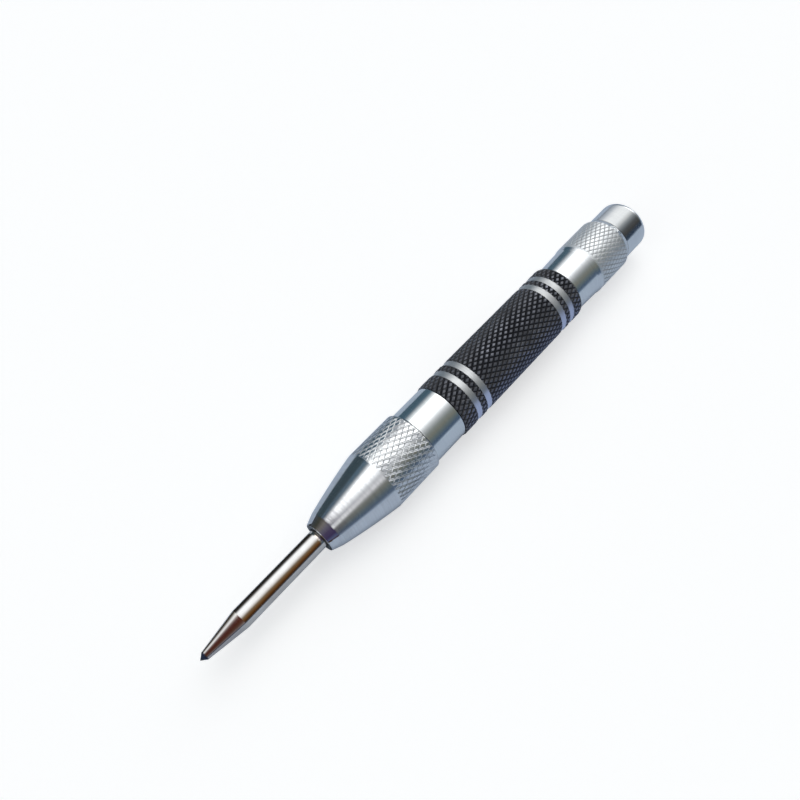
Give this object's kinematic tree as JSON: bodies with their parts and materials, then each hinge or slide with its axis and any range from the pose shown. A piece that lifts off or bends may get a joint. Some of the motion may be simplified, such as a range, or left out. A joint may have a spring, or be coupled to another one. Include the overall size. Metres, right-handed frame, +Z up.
{
  "type": "automatic center punch",
  "caption": "Spring-loaded center punch with a slim steel pin, tapered aluminium nose, black knurled grip with silver bands and a knurled tail cap that sets the blow.",
  "frame": {"origin": "under the middle of the tool's length, on the surface that it lies on", "axes": "+X along the tool's axis from the point to the tail, +Z up from the surface that it lies on, +Y across the tool"},
  "size_m": [0.13, 0.0136, 0.0137],
  "materials": {
    "hardened_steel": "polished along its length, with a dark ground point",
    "satin_aluminium": "turned satin silver with fine lathe lines and a diamond knurl",
    "black_anodised": "black anodised diamond knurl with bare turned bands",
    "tool_steel": "ground tool steel with a film of oil",
    "spring_steel": "drawn spring wire"
  },
  "bodies": {
    "casing": {"barrel": "satin_aluminium", "grip_sleeve": "black_anodised", "nose_cone": "satin_aluminium", "return_spring": "spring_steel"},
    "pin": {"punch_pin": "hardened_steel"},
    "stem": {"trip_stem": "tool_steel"},
    "striker": {"hammer": "tool_steel"},
    "seat": {"spring_seat": "tool_steel", "main_spring": "spring_steel"},
    "cap": {"tail_cap": "satin_aluminium"}
  },
  "joints": [
    {"name": "pin_travel", "type": "slide", "parent": "casing", "child": "pin", "axis": [1, 0, 0], "range_m": [0, 0.008], "stiffness_N_per_m": 600, "springref_m": -0.004, "deforming": ["return_spring"]},
    {"name": "stem_tilt", "type": "hinge", "parent": "pin", "child": "stem", "pos_m": [-0.024, 0, 0.00685], "axis": [0, 0, -1], "range_deg": [0, 3]},
    {"name": "hammer_travel", "type": "slide", "parent": "casing", "child": "striker", "axis": [1, 0, 0], "range_m": [0, 0.008], "stiffness_N_per_m": 2000, "springref_m": -0.006, "deforming": ["main_spring"]},
    {"name": "seat_advance", "type": "slide", "parent": "casing", "child": "seat", "axis": [1, 0, 0], "range_m": [0, 0.004]},
    {"name": "cap_turn", "type": "hinge", "parent": "seat", "child": "cap", "pos_m": [0.04, 0, 0.00685], "axis": [1, 0, 0], "range_deg": [0, 1440]}
  ],
  "couplings": [
    {"joint": "stem_tilt", "follows": "pin_travel", "rad_per_m": 6.54},
    {"joint": "hammer_travel", "follows": "pin_travel", "ratio": 1},
    {"joint": "cap_turn", "follows": "seat_advance", "rad_per_m": 6283.1}
  ]
}
